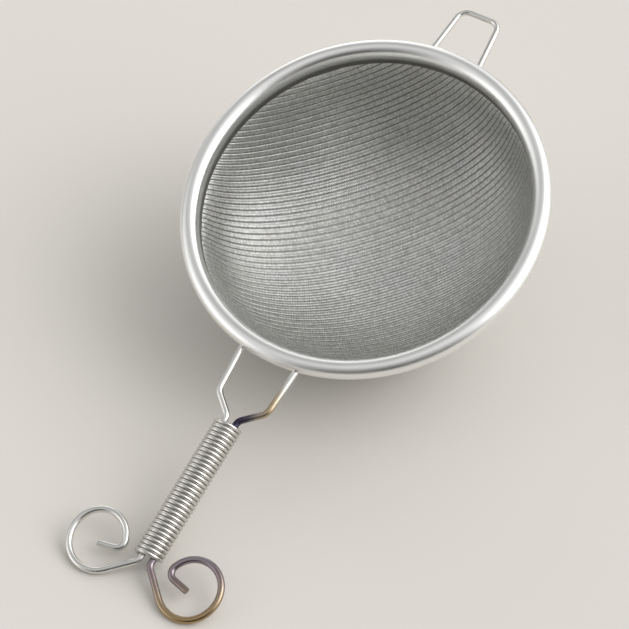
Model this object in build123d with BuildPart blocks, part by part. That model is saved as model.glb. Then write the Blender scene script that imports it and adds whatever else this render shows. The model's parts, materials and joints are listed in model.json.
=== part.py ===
from build123d import *
import math
import os

# Small round flour sifter of polished stainless steel, lying at rest on a flat surface.
# Millimetres, +Z up. The origin is the point where the bowl touches the surface.
# The grip points along -Y, the rest loop along +Y, and the part mirrors about the YZ plane.

# Rim: a sheet band curled into a round bead, whose inner end hangs down as a skirt
rim_outer_d = 120.0
bead_d = 6.1
band_wall = 0.5
skirt_depth = 4.0

# Clamp hoop: flat ring under the bead that traps the mesh edge against the skirt's outer face
hoop_wall = 0.7
hoop_edge_r = 0.2
bead_gap = 0.2

# Mesh bowl: woven cloth drawn to a deep dish, here one skin of the cloth's thickness
mesh_thickness = 0.4
bowl_depth = 47.0
bowl_draft = 17.5
bowl_corner_r = 46.0
bowl_bottom_r = 85.0

# Handle wires: one left and one right, welded to the bead, running through the grip
wire_d = 2.2
wire_drop = 1.5
handle_sag = 1.1
leg_root_half = 10.1
leg_bend_half = 9.1
leg_length = 14.6
leg_bend_r = 4.5
yoke_angle = 49.0
mouth_bend_r = 3.0
mouth_clearance = 0.3

# Grip: close-wound coil that turns freely on the two wires
coil_wire_d = 1.4
coil_bore_d = 6.6
coil_turns = 32.8
coil_turn_gap = 0.04
coil_clearance = 0.2

# Scrolls: each wire ends in a flat curl with a hooked, straight tail
scroll_lead_angle = 48.0
scroll_lead = 9.6
scroll_outer_r = 9.9
scroll_outer_sweep = 150.0
scroll_inner_r = 9.0
scroll_inner_sweep = 142.0
scroll_hook_r = 2.6
scroll_hook_sweep = 98.0
scroll_tail = 5.6

# Rest loop: bent wire opposite the grip
loop_wire_d = 2.0
loop_root_half = 8.9
loop_tip_half = 7.0
loop_reach = 16.4
loop_corner_r = 3.4

# Values that follow from the sizes above
rim_r = rim_outer_d / 2
bead_r = bead_d / 2
bead_centre_r = rim_r - bead_r
skirt_inner_r = bead_centre_r - bead_r
mesh_edge_r = skirt_inner_r + band_wall + mesh_thickness
hoop_outer_r = mesh_edge_r + hoop_wall
wire_r = wire_d / 2
coil_wire_r = coil_wire_d / 2
coil_pitch = coil_wire_d + coil_turn_gap
coil_length = coil_turns * coil_pitch + coil_wire_d
wire_in_grip = coil_bore_d / 2 - coil_clearance - wire_r

# Places along the handle, measured outward from the rim's edge
mouth_corner = leg_length + (leg_bend_half - wire_in_grip) / math.tan(math.radians(yoke_angle))
coil_start = mouth_corner + mouth_bend_r * math.tan(math.radians(yoke_angle / 2)) + mouth_clearance
coil_end = coil_start + coil_length


def under_bead(out):
    """Height just below the bead's surface, at this distance from the rim's axis."""
    return -math.sqrt(bead_r**2 - (bead_centre_r - out) ** 2) - bead_gap


# Bowl section about the rim's axis: below the skirt a straight sloping wall, a corner arc and a
# bottom arc, each tangent to the next. Heights are measured from the plane through the bead's
# centre. The wall ends where the corner arc that touches it also touches the bottom arc.
draft = math.radians(bowl_draft)
mesh_bend = skirt_depth + mesh_thickness * math.tan(draft / 2)
bottom_centre_h = bowl_bottom_r - bowl_depth
far_out = mesh_edge_r - bowl_corner_r * math.cos(draft)
far_down = -mesh_bend + bowl_corner_r * math.sin(draft) - bottom_centre_h
along_wall = far_out * math.sin(draft) + far_down * math.cos(draft)
wall_gap = far_out**2 + far_down**2 - (bowl_bottom_r - bowl_corner_r) ** 2
wall_length = along_wall + math.sqrt(along_wall**2 - wall_gap)
corner_centre_r = far_out - wall_length * math.sin(draft)
corner_centre_h = -mesh_bend + bowl_corner_r * math.sin(draft) - wall_length * math.cos(draft)
corner_end = math.atan2(corner_centre_r, bottom_centre_h - corner_centre_h)
bottom_sweep = math.degrees(corner_end)
corner_sweep = 90 - bowl_draft - bottom_sweep

# Centre line of the right handle wire, drawn flat: x across, y = 0 at the rim's edge, grip along -y
with BuildLine() as wire_flat:
    FilletPolyline(
        (leg_root_half, bead_r),
        (leg_bend_half, -leg_length),
        (wire_in_grip, -mouth_corner),
        (wire_in_grip, -(coil_end + mouth_clearance)),
        radius=(leg_bend_r, mouth_bend_r),
    )
    turn_out = JernArc(wire_flat.line @ 1, (0, -1), mouth_bend_r, scroll_lead_angle)
    lead = Line(turn_out @ 1, (turn_out @ 1) + (turn_out % 1) * scroll_lead)
    outer_curl = JernArc(lead @ 1, lead % 1, scroll_outer_r, scroll_outer_sweep)
    inner_curl = JernArc(outer_curl @ 1, outer_curl % 1, scroll_inner_r, scroll_inner_sweep)
    hook = JernArc(inner_curl @ 1, inner_curl % 1, scroll_hook_r, scroll_hook_sweep)
    Line(hook @ 1, (hook @ 1) + (hook % 1) * scroll_tail)
handle_reach = -wire_flat.line.bounding_box().min.Y

sag = math.radians(handle_sag)
tip_out = rim_r + handle_reach * math.cos(sag)
tip_down = wire_drop + handle_reach * math.sin(sag)


def tilt_on(arc_out, arc_h, arc_r):
    """Tilt at which the ends of both scrolls and this arc of the bowl's section touch one surface."""
    lever = math.hypot(tip_out - arc_out, tip_down + arc_h)
    bearing = math.atan2(tip_down + arc_h, tip_out - arc_out)
    return math.asin((arc_r - wire_r) / lever) - bearing


# Resting pose: the bowl stands on its bottom arc, or on its corner arc once it leans far enough
support_out, support_h, support_r = 0, bottom_centre_h, bowl_bottom_r
if tilt_on(support_out, support_h, support_r) > corner_end:
    support_out, support_h, support_r = corner_centre_r, corner_centre_h, bowl_corner_r
rest_tilt = tilt_on(support_out, support_h, support_r)
lean_sin = math.sin(rest_tilt)
lean_cos = math.cos(rest_tilt)

# Working planes: the rim, a section through its axis, the handle and the loop
rim_plane = Plane(
    origin=(
        0,
        support_out * lean_cos + support_h * lean_sin,
        support_r + support_out * lean_sin - support_h * lean_cos,
    ),
    x_dir=(1, 0, 0),
    z_dir=(0, -lean_sin, lean_cos),
)
rim_axis = Axis(rim_plane.origin, rim_plane.z_dir)
section_plane = Plane(origin=rim_plane.origin, x_dir=rim_plane.x_dir, z_dir=-rim_plane.y_dir)
handle_plane = Plane(
    origin=rim_plane.from_local_coords((0, -rim_r, -wire_drop)),
    x_dir=rim_plane.x_dir,
    z_dir=rim_plane.z_dir,
).rotated((handle_sag, 0, 0))
loop_plane = Plane(
    origin=rim_plane.from_local_coords((0, rim_r, -wire_drop)),
    x_dir=rim_plane.x_dir,
    z_dir=rim_plane.z_dir,
)

# Solid form of the bead, used only to shape the wire ends that are welded against it
with BuildPart(rim_plane) as bead_form:
    Torus(bead_centre_r, bead_r)

# Rim band: the bead is a closed curl, and its skirt hangs from the bead's inner side
with BuildPart() as rim_band:
    with BuildSketch(section_plane):
        with Locations((bead_centre_r, 0)):
            Circle(bead_r)
        with Locations((skirt_inner_r, 0)):
            Rectangle(band_wall, skirt_depth, align=(Align.MIN, Align.MAX))
        with Locations((bead_centre_r, 0)):
            Circle(bead_r - band_wall, mode=Mode.SUBTRACT)
    revolve(axis=rim_axis)
rim_band.part.label = "rim_band"

# Clamp hoop: stands round the mesh edge, from under the bead to where the mesh bends inward
with BuildPart() as clamp_hoop:
    with BuildSketch(section_plane) as hoop_section:
        with Locations((mesh_edge_r, under_bead(hoop_outer_r))):
            Rectangle(hoop_wall, mesh_bend + under_bead(hoop_outer_r), align=(Align.MIN, Align.MAX))
        fillet(hoop_section.vertices().group_by(Axis.X)[-1], radius=hoop_edge_r)
    revolve(axis=rim_axis)
clamp_hoop.part.label = "clamp_hoop"

# Mesh bowl: the outer face of its section, less the same face drawn in by the cloth's thickness
with BuildPart() as mesh_bowl:
    with BuildSketch(section_plane):
        for inset, mode in ((0, Mode.ADD), (mesh_thickness, Mode.SUBTRACT)):
            edge_r = mesh_edge_r - inset
            edge_h = under_bead(mesh_edge_r)
            bend_h = inset * math.tan(draft / 2) - mesh_bend
            corner_r = bowl_corner_r - inset
            bottom_r = bowl_bottom_r - inset
            wall_end_r = corner_centre_r + corner_r * math.cos(draft)
            wall_end_h = corner_centre_h - corner_r * math.sin(draft)
            with BuildLine():
                Polyline(
                    (0, bottom_centre_h - bottom_r),
                    (0, edge_h),
                    (edge_r, edge_h),
                    (edge_r, bend_h),
                    (wall_end_r, wall_end_h),
                )
                CenterArc((corner_centre_r, corner_centre_h), corner_r, -bowl_draft, -corner_sweep)
                CenterArc((0, bottom_centre_h), bottom_r, bottom_sweep - 90, -bottom_sweep)
            make_face(mode=mode)
    revolve(axis=rim_axis)
mesh_bowl.part.label = "mesh_bowl"

# Handle wires: the left one is the right one mirrored
wire_route = wire_flat.line.moved(handle_plane.location)
with BuildPart() as handle_wire_right:
    with BuildSketch(Plane(origin=wire_route @ 0, z_dir=wire_route % 0)):
        Circle(wire_r)
    sweep(path=wire_route)
    add(bead_form.part, mode=Mode.SUBTRACT)
handle_wire_right.part.label = "handle_wire_right"

with BuildPart() as handle_wire_left:
    mirror(handle_wire_right.part, about=Plane.YZ)
handle_wire_left.part.label = "handle_wire_left"

# Grip coil: one wire wound about the handle's axis
with BuildLine() as coil_flat:
    Helix(
        pitch=coil_pitch,
        height=coil_turns * coil_pitch,
        radius=coil_bore_d / 2 + coil_wire_r,
        center=(0, -(coil_start + coil_wire_r), 0),
        direction=(0, -1, 0),
    )
coil_route = coil_flat.line.moved(handle_plane.location)
with BuildPart() as grip_coil:
    with BuildSketch(Plane(origin=coil_route @ 0, z_dir=coil_route % 0)):
        Circle(coil_wire_r)
    sweep(path=coil_route, is_frenet=True)
grip_coil.part.label = "grip_coil"

# Rest loop
with BuildLine() as loop_flat:
    FilletPolyline(
        (-loop_root_half, -bead_r),
        (-loop_tip_half, loop_reach),
        (loop_tip_half, loop_reach),
        (loop_root_half, -bead_r),
        radius=loop_corner_r,
    )
loop_route = loop_flat.line.moved(loop_plane.location)
with BuildPart() as rest_loop:
    with BuildSketch(Plane(origin=loop_route @ 0, z_dir=loop_route % 0)):
        Circle(loop_wire_d / 2)
    sweep(path=loop_route)
    add(bead_form.part, mode=Mode.SUBTRACT)
rest_loop.part.label = "rest_loop"

os.makedirs("parts", exist_ok=True)
for piece in (rim_band, clamp_hoop, mesh_bowl, handle_wire_left, handle_wire_right, grip_coil, rest_loop):
    export_step(piece.part, f"parts/{piece.part.label}.step")
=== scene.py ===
import json
import math

import bmesh
import bpy
import numpy as np
from mathutils import Matrix, Vector


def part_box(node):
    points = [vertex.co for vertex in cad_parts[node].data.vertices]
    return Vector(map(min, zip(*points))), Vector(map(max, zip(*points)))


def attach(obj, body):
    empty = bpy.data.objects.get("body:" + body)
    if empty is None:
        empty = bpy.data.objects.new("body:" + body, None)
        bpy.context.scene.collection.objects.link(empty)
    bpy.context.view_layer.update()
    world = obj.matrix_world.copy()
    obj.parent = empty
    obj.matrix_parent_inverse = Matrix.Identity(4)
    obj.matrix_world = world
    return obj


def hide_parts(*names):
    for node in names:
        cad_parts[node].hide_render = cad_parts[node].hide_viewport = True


# Small round flour sifter: a rolled steel rim with a woven wire bowl, two handle wires that run
# through a coil grip, and a rest loop. Metres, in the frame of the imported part.
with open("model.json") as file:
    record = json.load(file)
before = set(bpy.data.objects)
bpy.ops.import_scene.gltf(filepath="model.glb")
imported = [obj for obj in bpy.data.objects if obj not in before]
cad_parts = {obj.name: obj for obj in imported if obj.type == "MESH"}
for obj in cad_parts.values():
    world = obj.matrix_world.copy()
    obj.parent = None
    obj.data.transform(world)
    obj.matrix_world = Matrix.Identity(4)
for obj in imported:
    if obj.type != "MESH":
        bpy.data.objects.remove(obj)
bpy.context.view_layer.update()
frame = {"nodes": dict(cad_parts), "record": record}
nodes = frame["nodes"]
mounts = {mount["name"]: mount for mount in frame["record"]["mounts"]}
MM = 0.001

# The rim's own frame: x across, y toward the rest loop, z out of the bowl's mouth
rim_up = -Vector(mounts["rim_seat"]["axis"]).normalized()
rim_across = Vector((1, 0, 0))
rim_along = rim_up.cross(rim_across)
rim_centre = Vector(mounts["rim_seat"]["pos_m"])
rim_frame = Matrix((
    (*rim_across, 0),
    (*rim_along, 0),
    (*rim_up, 0),
    (0, 0, 0, 1),
)).transposed()
rim_frame.translation = rim_centre
to_rim = rim_frame.inverted()


def in_rim_frame(node):
    """Vertices of a CAD node in the rim's frame."""
    here = np.array([v.co for v in nodes[node].data.vertices])
    turn = np.array(to_rim.to_3x3())
    return here @ turn.T + np.array(to_rim.translation)


# ---------------------------------------------------------------------------------------------
# Sizes and tones of the finishes
# ---------------------------------------------------------------------------------------------
# Polished sheet. The wheel's lines break into this many strokes round the ring, 30 mm long each,
# and fingers leave patches that shine a little less.
wheel_strokes = 12.6
wheel_line_depth = 0.02 * MM
smear_width = 14 * MM
# Inside the skirt the face is painted darker grey, as painted shade in the crease below the roll.
# The shade comes in between the first and the second height below the rim's middle, and the first
# and the second distance from the face.
painted_skirt_shade = "#8d8b86"
skirt_shade_heights = (-0.5 * MM, -2 * MM)
skirt_shade_distances = (0.9 * MM, 0.3 * MM)
rim_points = in_rim_frame("rim_band")
skirt_face_r = np.hypot(rim_points[:, 0], rim_points[:, 1]).min()

# Drawn wire: how wide its rubbed patches are, how deep its small dents, and how far the edges of
# its heat colours waver
bright_steel = "#dcdbd7"
rub_width = 4.5 * MM
dent_depth = 0.03 * MM
heat_waver = 3 * MM

# Cloth: thick wires make ribs, in pairs, at 45 degrees to the handle, and fine wires cross them
pair_pitch = 2.227 * MM
rib_turn = math.radians(45)
rib_half_thick = 0.40 * MM
valley_half_thick = 0.10 * MM
clamped_half_thick = 0.19 * MM
rib_roundness = 0.5
fine_wire_pitch = 0.62 * MM
fine_wire_lift = 0.045 * MM
# the valley inside a pair is shallower than those beside it, most so up the wall
flat_arc = 24 * MM
steep_arc = 50 * MM
inner_valley_flat = 0.6
inner_valley_steep = 0.22
# the ribs flatten toward the clamped edge
clamp_fade = 3 * MM
clamp_start = 0.5 * MM
# ribs swell and thin a little over long distances, as hand-set wires do
swell = 0.07
swell_short = (6.9 * MM, 103 * MM)
swell_long = (16.7 * MM, 44 * MM)
# steel as annealed, a little warmer in some patches; painted sparkle per crossing; painted shade in
# gaps
warm_steel = "#dad8d2"
cool_steel = "#d9dbdb"
gap_painted_shade = "#26231f"
anneal_patch = 16 * MM
dimmest_painted_sparkle = 0.72
gap_shade_flat = 0.72
gap_shade_steep = 0.36


# ---------------------------------------------------------------------------------------------
# Colours and shader nodes
# ---------------------------------------------------------------------------------------------
def paint(code):
    """Linear colour of an sRGB hex value."""
    parts = [int(code[i:i + 2], 16) / 255 for i in (1, 3, 5)]
    return (*(c / 12.92 if c <= 0.04045 else ((c + 0.055) / 1.055) ** 2.4 for c in parts), 1)


def add(tree, kind, inputs=None, **settings):
    """Adds a shader node with its settings, and sets or links its inputs."""
    new = tree.nodes.new("ShaderNode" + kind)
    for name, value in settings.items():
        setattr(new, name, value)
    for name, value in (inputs or {}).items():
        if isinstance(value, bpy.types.NodeSocket):
            tree.links.new(value, new.inputs[name])
        else:
            new.inputs[name].default_value = value
    return new


def blank_material(name):
    """A new material with no nodes yet, and its node tree."""
    material = bpy.data.materials.new(name)
    material.use_nodes = True
    material.node_tree.nodes.clear()
    return material, material.node_tree


# ---------------------------------------------------------------------------------------------
# Materials
# ---------------------------------------------------------------------------------------------
def wheel_polished_steel(name, colour, roughness, line_width):
    """Stainless sheet rolled to its section and polished on a wheel.

    It mirrors its surroundings softly, in long highlights that follow the ring. The wheel leaves
    faint lines round it, finer than a hair, which are drawn as wide as line_width to show.
    """
    material, tree = blank_material(name)
    place = add(tree, "TexCoord").outputs["Object"]
    from_centre = add(tree, "VectorMath", {
        0: place, 1: rim_centre,
    }, operation="SUBTRACT").outputs[0]
    levelled = add(tree, "Mapping", {
        "Vector": from_centre, "Rotation": (math.asin(rim_up.y), 0, 0),
    }).outputs[0]
    axes = add(tree, "SeparateXYZ", {"Vector": levelled}).outputs
    flat = add(tree, "CombineXYZ", {"X": axes["X"], "Y": axes["Y"]}).outputs[0]
    radius = add(tree, "VectorMath", {0: flat}, operation="LENGTH").outputs["Value"]
    angle = add(tree, "Math", {0: axes["Y"], 1: axes["X"]}, operation="ARCTAN2").outputs[0]
    # noise stretched round the ring draws the lines
    wheel_path = add(tree, "CombineXYZ", {
        "X": add(tree, "Math", {
            0: radius, 1: 1 / line_width,
        }, operation="MULTIPLY").outputs[0],
        "Y": add(tree, "Math", {
            0: angle, 1: wheel_strokes / math.tau,
        }, operation="MULTIPLY").outputs[0],
        "Z": add(tree, "Math", {
            0: axes["Z"], 1: 1 / line_width,
        }, operation="MULTIPLY").outputs[0],
    }).outputs[0]
    lines = add(tree, "TexNoise", {
        "Vector": wheel_path, "Scale": 1.0, "Detail": 3.0, "Roughness": 0.6,
    }).outputs["Fac"]
    handled = add(tree, "TexNoise", {
        "Vector": place, "Scale": 1 / smear_width, "Detail": 2.0,
    }).outputs["Fac"]
    wear = add(tree, "Math", {0: lines, 1: handled}, operation="ADD").outputs[0]
    gloss = add(tree, "MapRange", {
        "Value": wear, "From Min": 0.7, "From Max": 1.3,
        "To Min": roughness - 0.04, "To Max": roughness + 0.06,
    }).outputs[0]
    grooves = add(tree, "Bump", {
        "Height": lines, "Strength": 0.10, "Distance": wheel_line_depth,
    }).outputs[0]
    # painted shade: the face inside the skirt, below the rim's middle, is painted darker grey
    below = add(tree, "MapRange", {
        "Value": axes["Z"], "From Min": skirt_shade_heights[0], "From Max": skirt_shade_heights[1],
    }).outputs[0]
    inside = add(tree, "MapRange", {
        "Value": radius,
        "From Min": skirt_face_r + skirt_shade_distances[0], "From Max": skirt_face_r + skirt_shade_distances[1],
    }).outputs[0]
    skirt_shade_mask = add(tree, "Math", {0: below, 1: inside}, operation="MULTIPLY").outputs[0]
    finish = add(tree, "Mix", {
        "Factor": skirt_shade_mask, "A": paint(colour), "B": paint(painted_skirt_shade),
    }, data_type="RGBA").outputs["Result"]
    shade = add(tree, "BsdfPrincipled", {
        "Base Color": finish, "Metallic": 1.0, "Roughness": gloss, "Normal": grooves,
    }).outputs[0]
    add(tree, "OutputMaterial", {"Surface": shade})
    return material


def woven_stainless_wire(name):
    """Fine stainless wires woven tight over thicker ones, as drawn and annealed.

    The thick wires stand up as satin ribs, and the gaps between the pairs are painted dark as
    shade. The fine ones lie over them side by side, so each rib has a soft grain. A rib is wide
    enough to be in the mesh. The fine wires are about a quarter of a millimetre in real cloth and
    are drawn wider here to show.
    """
    material, tree = blank_material(name)
    cloth = add(tree, "UVMap", uv_map="cloth").outputs["UV"]
    axes = add(tree, "SeparateXYZ", {"Vector": cloth}).outputs
    # a fine wire shows over one rib and is hidden under the next
    ribs = add(tree, "Math", {0: axes["Y"], 1: 2 / pair_pitch}, operation="MULTIPLY").outputs[0]
    rib = add(tree, "Math", {0: ribs}, operation="FLOOR").outputs[0]
    shift = add(tree, "Math", {0: rib, 1: 0.5}, operation="MULTIPLY").outputs[0]
    wires = add(tree, "Math", {
        0: axes["X"], 1: 1 / fine_wire_pitch, 2: shift,
    }, operation="MULTIPLY_ADD").outputs[0]
    turn = add(tree, "Math", {0: wires, 1: math.tau}, operation="MULTIPLY").outputs[0]
    crown = add(tree, "Math", {0: turn}, operation="SINE").outputs[0]
    # painted sparkle: each crossing gets its own brightness, for how its wire lies to the light
    crossing = add(tree, "CombineXYZ", {
        "X": add(tree, "Math", {0: wires}, operation="FLOOR").outputs[0], "Y": rib,
    }).outputs[0]
    lie = add(tree, "TexWhiteNoise", {"Vector": crossing}, noise_dimensions="2D").outputs["Value"]
    painted_sparkle = add(tree, "MapRange", {"Value": lie, "To Min": dimmest_painted_sparkle, "To Max": 1.0}).outputs[0]
    # painted shade: the gaps between pairs are painted dark, and darker up the wall
    across = add(tree, "Math", {0: ribs, 1: math.pi / 2}, operation="MULTIPLY").outputs[0]
    wave = add(tree, "Math", {0: across}, operation="SINE").outputs[0]
    from_gap = add(tree, "Math", {0: wave}, operation="ABSOLUTE").outputs[0]
    arc = add(tree, "VectorMath", {0: cloth}, operation="LENGTH").outputs["Value"]
    gap_shade = add(tree, "MapRange", {
        "Value": arc, "From Min": flat_arc, "From Max": steep_arc,
        "To Min": gap_shade_flat, "To Max": gap_shade_steep,
    }).outputs[0]
    closed = add(tree, "MapRange", {
        "Value": from_gap, "From Min": 0.05, "From Max": 0.45, "To Min": gap_shade, "To Max": 1.0,
    }).outputs[0]
    # painted shade in the gaps times painted sparkle at the crossings
    painted_shade_and_sparkle = add(tree, "Math", {0: closed, 1: painted_sparkle}, operation="MULTIPLY").outputs[0]
    anneal = add(tree, "TexNoise", {
        "Vector": cloth, "Scale": 1 / anneal_patch, "Detail": 2.0,
    }).outputs["Fac"]
    steel = add(tree, "Mix", {
        "Factor": anneal, "A": paint(warm_steel), "B": paint(cool_steel),
    }, data_type="RGBA").outputs["Result"]
    colour = add(tree, "Mix", {
        "Factor": painted_shade_and_sparkle, "A": paint(gap_painted_shade), "B": steel,
    }, data_type="RGBA").outputs["Result"]
    grain = add(tree, "Bump", {
        "Height": crown, "Strength": 0.8, "Distance": fine_wire_lift,
    }).outputs[0]
    shade = add(tree, "BsdfPrincipled", {
        "Base Color": colour, "Metallic": 1.0, "Roughness": 0.38, "Normal": grain,
    }).outputs[0]
    add(tree, "OutputMaterial", {"Surface": shade})
    return material


def drawn_stainless_wire(name, colour, roughness, heat=()):
    """Stainless wire drawn bright through a die, with dull patches where it was bent and rubbed.

    Its high gloss turns the room into one thin bright line with dark sides along each wire. Where
    it was welded or bent hot, an oxide film gives the temper colours: straw, brown, violet, blue.
    heat lists distances from a point beside the grip's upper end, and the film's colour there.
    """
    material, tree = blank_material(name)
    place = add(tree, "TexCoord").outputs["Object"]
    patches = add(tree, "TexNoise", {
        "Vector": place, "Scale": 1 / rub_width, "Detail": 3.0,
    }).outputs["Fac"]
    gloss = add(tree, "MapRange", {
        "Value": patches, "From Min": 0.35, "From Max": 0.7,
        "To Min": roughness - 0.05, "To Max": roughness + 0.1,
    }).outputs[0]
    dents = add(tree, "Bump", {
        "Height": patches, "Strength": 0.15, "Distance": dent_depth,
    }).outputs[0]
    shade = add(tree, "BsdfPrincipled", {
        "Base Color": paint(colour), "Metallic": 1.0, "Roughness": gloss, "Normal": dents,
    })
    if heat:
        away = add(tree, "VectorMath", {
            0: place, 1: heat_centre,
        }, operation="DISTANCE").outputs["Value"]
        waver = add(tree, "Math", {
            0: patches, 1: heat_waver, 2: away,
        }, operation="MULTIPLY_ADD").outputs[0]
        first, last = heat[0][0], heat[-1][0]
        share = add(tree, "MapRange", {
            "Value": waver, "From Min": first + heat_waver / 2, "From Max": last + heat_waver / 2,
        }).outputs[0]
        film = add(tree, "ValToRGB", {"Fac": share})
        stops = film.color_ramp.elements
        while len(stops) < len(heat):
            stops.new(0.5)
        for stop, (distance, temper) in zip(stops, heat):
            stop.position = (distance - first) / (last - first)
            stop.color = paint(temper)
        tree.links.new(film.outputs["Color"], shade.inputs["Base Color"])
    add(tree, "OutputMaterial", {"Surface": shade.outputs[0]})
    return material


# ---------------------------------------------------------------------------------------------
# Woven bowl
# ---------------------------------------------------------------------------------------------
# Press tool that the cloth is drawn over: slope of the wall and radii of the corner and bottom
wall_draft = math.radians(17.5)
corner_r = 46 * MM
bottom_r = 85 * MM

# The mesh: rows to a pair of ribs, steps along a row, and how the steps crowd toward its ends
rows_per_pair = 10
steps_in_row = 64
edge_crowding = 0.8
# points this close to each other become one
same_point = 0.0005 * MM
# width of the cut edge on the flat map, and how far a chart's disc goes past the cloth's faces,
# in such widths
cut_edge_map = 0.4 * MM
disc_margin = 1.25
# CAD points this close to the widest radius are on the straight edge that the rim holds
edge_slack = 0.01 * MM

bowl_points = in_rim_frame("mesh_bowl")
bowl_radii = np.hypot(bowl_points[:, 0], bowl_points[:, 1])
edge_r = bowl_radii.max()
edge_top = bowl_points[:, 2].max()
bowl_bottom = bowl_points[:, 2].min()
bend_h = bowl_points[bowl_radii > edge_r - edge_slack, 2].min()

# The wall ends where the corner arc that touches it also touches the bottom arc
bottom_centre = bowl_bottom + bottom_r
out = edge_r - corner_r * math.cos(wall_draft)
down = bend_h + corner_r * math.sin(wall_draft) - bottom_centre
lean = out * math.sin(wall_draft) + down * math.cos(wall_draft)
wall_length = lean + math.sqrt(lean**2 - out**2 - down**2 + (bottom_r - corner_r) ** 2)
corner_out = out - wall_length * math.sin(wall_draft)
corner_h = bend_h + corner_r * math.sin(wall_draft) - wall_length * math.cos(wall_draft)
corner_start = math.atan2(corner_out, bottom_centre - corner_h)
corner_turn = math.pi / 2 - wall_draft - corner_start
bottom_arc = bottom_r * corner_start
corner_arc = corner_r * corner_turn
bend_arc = bottom_arc + corner_arc + wall_length
top_arc = bend_arc + edge_top - bend_h


def dish_section(arc):
    """Radius, height and slope of the dish's outer face, at a distance from its centre along it."""
    on_bottom = np.minimum(arc, bottom_arc) / bottom_r
    on_corner = np.clip(arc - bottom_arc, 0, corner_arc) / corner_r
    on_wall = np.clip(arc - bottom_arc - corner_arc, 0, wall_length)
    on_rim = np.maximum(arc - bend_arc, 0)
    slope = on_bottom + on_corner
    turned = np.where(arc > bottom_arc, 1.0, 0.0)
    radius = bottom_r * np.sin(on_bottom)
    height = bottom_centre - bottom_r * np.cos(on_bottom)
    radius = radius + turned * corner_r * (np.sin(slope) - np.sin(on_bottom))
    height = height - turned * corner_r * (np.cos(slope) - np.cos(on_bottom))
    radius = radius + on_wall * math.sin(wall_draft)
    height = height + on_wall * math.cos(wall_draft) + on_rim
    slope = np.where(arc > bend_arc, math.pi / 2, slope)
    return radius, height, slope


def half_thickness(along, across, arc):
    """Half the cloth's thickness there, and that of a rib's crest as far from the centre.

    Two round ribs make a pair, with a shallow valley between them and deep ones beside them. The
    pairs close up on the wall, where the cloth was pulled, and are looser on the flat bottom.
    """
    period = across / pair_pitch
    steep = np.clip((arc - flat_arc) / (steep_arc - flat_arc), 0, 1)
    inner = inner_valley_flat + (inner_valley_steep - inner_valley_flat) * steep
    depth = (1 + inner) / 2 + (1 - inner) / 2 * np.cos(math.tau * period)
    bulge = 1 - depth * (1 - np.abs(np.sin(math.tau * period)) ** rib_roundness)
    short_wave = np.sin(math.tau * (across / swell_short[0] + along / swell_short[1]))
    long_wave = np.cos(math.tau * (across / swell_long[0] - along / swell_long[1]))
    uneven = 1 + swell * short_wave * long_wave
    free = np.clip((bend_arc + clamp_start - arc) / clamp_fade, 0, 1)
    free = free * free * (3 - 2 * free)
    crest = clamped_half_thick + (rib_half_thick - clamped_half_thick) * free
    return valley_half_thick + (crest * uneven - valley_half_thick) * bulge, crest


def cloth_points(flat, side):
    """Places on the drawn cloth's face on one side (1 outside, -1 inside), for flat places."""
    along, across = flat[..., 0], flat[..., 1]
    arc = np.hypot(along, across)
    angle = np.arctan2(across, along) + rib_turn
    radius, height, slope = dish_section(arc)
    half, crest = half_thickness(along, across, arc)
    inset = crest * (1 + swell) - side * half
    radius = radius - inset * np.sin(slope)
    height = height + inset * np.cos(slope)
    local = np.stack([radius * np.cos(angle), radius * np.sin(angle), height], -1)
    turn = np.array(rim_frame.to_3x3())
    return local @ turn.T + np.array(rim_centre)


def flat_grid():
    """Places on the flat cloth up to its bend, in rows that lie along the ribs."""
    half_rows = math.floor(bend_arc / pair_pitch * rows_per_pair)
    across = np.arange(-half_rows, half_rows + 1) * pair_pitch / rows_per_pair
    across = np.concatenate([[-bend_arc], across, [bend_arc]])
    crowded = math.pi / 2 * edge_crowding
    share = np.sin(np.linspace(-1, 1, steps_in_row + 1) * crowded) / math.sin(crowded)
    reach = np.sqrt(np.maximum(bend_arc**2 - across**2, 0))
    along = reach[:, None] * share[None, :]
    return np.stack([along, np.repeat(across[:, None], steps_in_row + 1, 1)], -1)


def cloth_skin():
    """Both faces of the drawn cloth and its cut edge, not joined yet.

    Returns the points, their places on the flat cloth, the quads, and each quad's side.
    """
    points, flats, quads, sides = [], [], [], []

    def put(flat, places):
        """Adds points and returns their numbers."""
        start = len(points)
        points.extend(places.reshape(-1, 3))
        flats.extend(flat.reshape(-1, 2))
        return np.arange(start, len(points)).reshape(flat.shape[:-1])

    def cover(corners, side):
        """Adds quads, from the numbers of their four corners."""
        quads.extend(np.stack(corners, -1).reshape(-1, 4).tolist())
        sides.extend([side] * corners[0].size)

    def bridge(low, high, side):
        """Adds the quads between two rings of points."""
        cover([low, np.roll(low, -1), np.roll(high, -1), high], side)

    grid = flat_grid()
    bend = np.concatenate([grid[:, -1], grid[-2:0:-1, 0]])
    tops = []
    for side in (-1, 1):
        inner = put(grid, cloth_points(grid, side))
        cover([inner[:-1, :-1], inner[:-1, 1:], inner[1:, 1:], inner[1:, :-1]], side)
        low = None
        for arc in (bend_arc, (bend_arc + top_arc) / 2, top_arc):
            flat = bend * (arc / bend_arc)
            high = put(flat, cloth_points(flat, side))
            if low is not None:
                bridge(low, high, side)
            low = high
        tops.append(low)

    # the cut edge lies just outside the rim of the inner face's map
    inside_top, outside_top = tops
    lip = 1 + cut_edge_map / top_arc
    edge = put(np.array(flats)[outside_top] * lip, np.array(points)[outside_top])
    bridge(inside_top, edge, -1)
    return points, np.array(flats), quads, np.array(sides)


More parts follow.
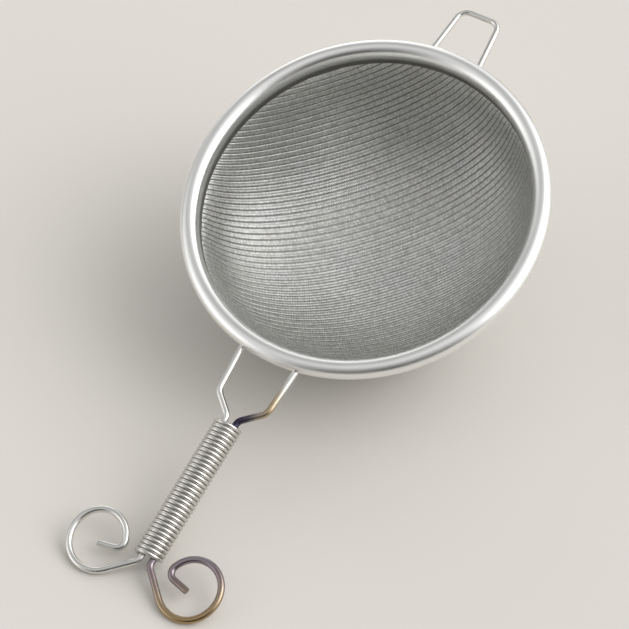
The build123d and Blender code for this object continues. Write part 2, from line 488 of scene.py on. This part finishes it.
def weave_bowl():
    """The drawn cloth as one closed mesh, with ribs on both faces and its flat edge under the rim.

    Its map "cloth" holds places on the flat cloth, in metres. "OFBake" sets both faces side by
    side in the unit square.
    """
    points, flats, quads, sides = cloth_skin()
    mesh = bpy.data.meshes.new("woven_bowl")
    mesh.from_pydata([tuple(point) for point in points], [], quads)
    corners = np.zeros(len(mesh.loops), int)
    mesh.loops.foreach_get("vertex_index", corners)
    corner_sides = np.repeat(sides, 4)
    cloth = mesh.uv_layers.new(name="cloth")
    cloth.uv.foreach_set("vector", flats[corners].astype(np.float32).ravel())
    # two equal discs that touch on the square's diagonal
    disc_r = 1 / (2 + math.sqrt(2))
    middle = np.where(corner_sides[:, None] < 0, disc_r, 1 - disc_r)
    chart = mesh.uv_layers.new(name="OFBake")
    placed = middle + flats[corners] / (top_arc + disc_margin * cut_edge_map) * disc_r
    chart.uv.foreach_set("vector", placed.astype(np.float32).ravel())

    work = bmesh.new()
    work.from_mesh(mesh)
    bmesh.ops.remove_doubles(work, verts=work.verts, dist=same_point)
    bmesh.ops.recalc_face_normals(work, faces=work.faces)
    for face in work.faces:
        face.smooth = True
    work.to_mesh(mesh)
    work.free()
    mesh.uv_layers.active = mesh.uv_layers["cloth"]
    return bpy.data.objects.new("woven_bowl", mesh)


woven_bowl = weave_bowl()
bpy.context.scene.collection.objects.link(woven_bowl)
woven_bowl.data.materials.append(woven_stainless_wire("woven_stainless_wire"))
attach(woven_bowl, "strainer")
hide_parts("mesh_bowl")


# ---------------------------------------------------------------------------------------------
# Finishes of the parts that keep their CAD shape
# ---------------------------------------------------------------------------------------------
def finish_node(node, material):
    """Gives a CAD node its finish."""
    mesh = nodes[node].data
    mesh.materials.clear()
    mesh.materials.append(material)


# The right wire's temper colours, by distance from a point left of the grip's upper end
left_of_grip = -12 * MM
grip_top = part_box("grip_coil")[1]
heat_centre = Vector((left_of_grip, grip_top[1], grip_top[2]))
heat_marks = (
    (14.5 * MM, "#3f3a50"),
    (17 * MM, "#5d5664"),
    (19.5 * MM, "#a39a90"),
    (23 * MM, "#bba888"),
    (27 * MM, bright_steel),
    (40 * MM, bright_steel),
    (48 * MM, "#a8a2aa"),
    (57 * MM, "#87797c"),
    (63 * MM, "#978877"),
    (72 * MM, "#b3986c"),
    (82 * MM, "#75614a"),
)
finish_node("rim_band", wheel_polished_steel(
    "polished_stainless_sheet", colour="#f1f1ef", roughness=0.31, line_width=0.25 * MM,
))
finish_node("clamp_hoop", wheel_polished_steel(
    "rolled_stainless_strip", colour="#b9b8b4", roughness=0.32, line_width=0.3 * MM,
))
bright_wire = drawn_stainless_wire("bright_stainless_wire", bright_steel, roughness=0.2)
finish_node("handle_wire_left", bright_wire)
finish_node("rest_loop", bright_wire)
finish_node("handle_wire_right", drawn_stainless_wire(
    "heat_tinted_stainless_wire", bright_steel, roughness=0.22, heat=heat_marks,
))
finish_node("grip_coil", drawn_stainless_wire(
    "spring_stainless_wire", colour="#cfcdc8", roughness=0.22,
))


# ---------------------------------------------------------------------------------------------
# Floor, room light and camera
# ---------------------------------------------------------------------------------------------
# The floor reaches so far that no view shows its edge
floor_half = 6


def pale_floor():
    """Pale board painted matt, which the part lies on. It has no shine, only soft shadows."""
    low, high = -floor_half, floor_half
    mesh = bpy.data.meshes.new("floor")
    mesh.from_pydata(
        [(low, low, 0), (high, low, 0), (high, high, 0), (low, high, 0)], [], [(0, 1, 2, 3)],
    )
    floor = bpy.data.objects.new("floor", mesh)
    bpy.context.scene.collection.objects.link(floor)
    material, tree = blank_material("matt_pale_board")
    shade = add(tree, "BsdfPrincipled", {
        "Base Color": paint("#d6d2cb"), "Roughness": 0.7,
    }).outputs[0]
    add(tree, "OutputMaterial", {"Surface": shade})
    mesh.materials.append(material)


# The room's soft lights, as degrees from x toward y, degrees above the ground, and brightness
room_lights = (
    (22.5, 33, 4.8),
    (67.5, 33, 1.3),
    (112.5, 33, 0.5),
    (202.5, 33, 0.8),
    (135, 8, 1.7),
    (225, 8, 1.5),
    (0, 60, 0.3),
    (216, 60, 0.2),
    (288, 60, 0.45),
    (0, 90, 0.45),
)
light_tightness = 10


def studio_world():
    """A dim room with broad soft lights round and above the part."""
    world = bpy.data.worlds.new("studio")
    bpy.context.scene.world = world
    world.use_nodes = True
    tree = world.node_tree
    tree.nodes.clear()
    way = add(tree, "TexCoord").outputs["Generated"]
    glow = 0.0
    for turn, rise, brightness in room_lights:
        turn, rise = math.radians(turn), math.radians(rise)
        toward = (math.cos(rise) * math.cos(turn), math.cos(rise) * math.sin(turn), math.sin(rise))
        facing = add(tree, "VectorMath", {
            0: way, 1: toward,
        }, operation="DOT_PRODUCT").outputs["Value"]
        fall = add(tree, "Math", {
            0: facing, 1: light_tightness, 2: -light_tightness,
        }, operation="MULTIPLY_ADD").outputs[0]
        lamp = add(tree, "Math", {0: fall}, operation="EXPONENT").outputs[0]
        glow = add(tree, "Math", {
            0: lamp, 1: brightness, 2: glow,
        }, operation="MULTIPLY_ADD").outputs[0]
    room = add(tree, "Background", {"Color": paint("#ffffff"), "Strength": glow}).outputs[0]
    add(tree, "OutputWorld", {"Surface": room})


pale_floor()
studio_world()
bpy.context.scene.view_settings.view_transform = "Standard"

camera_aim = Vector((0.3, -22.87, 25.0)) * MM
camera_azimuth = math.radians(35.75)
camera_elevation = math.radians(49.74)
camera_roll = math.radians(3.34)
camera_distance = 668.5 * MM
camera = bpy.data.objects.new("camera", bpy.data.cameras.new("camera"))
bpy.context.scene.collection.objects.link(camera)
camera.data.lens = 120.36
camera.data.sensor_width = 36
look = Vector((
    -math.sin(camera_azimuth) * math.cos(camera_elevation),
    math.cos(camera_azimuth) * math.cos(camera_elevation),
    -math.sin(camera_elevation),
))
camera.location = camera_aim - look * camera_distance
facing = look.to_track_quat("-Z", "Y").to_matrix()
camera.rotation_euler = (facing @ Matrix.Rotation(-camera_roll, 3, "Z")).to_euler()
bpy.context.scene.camera = camera
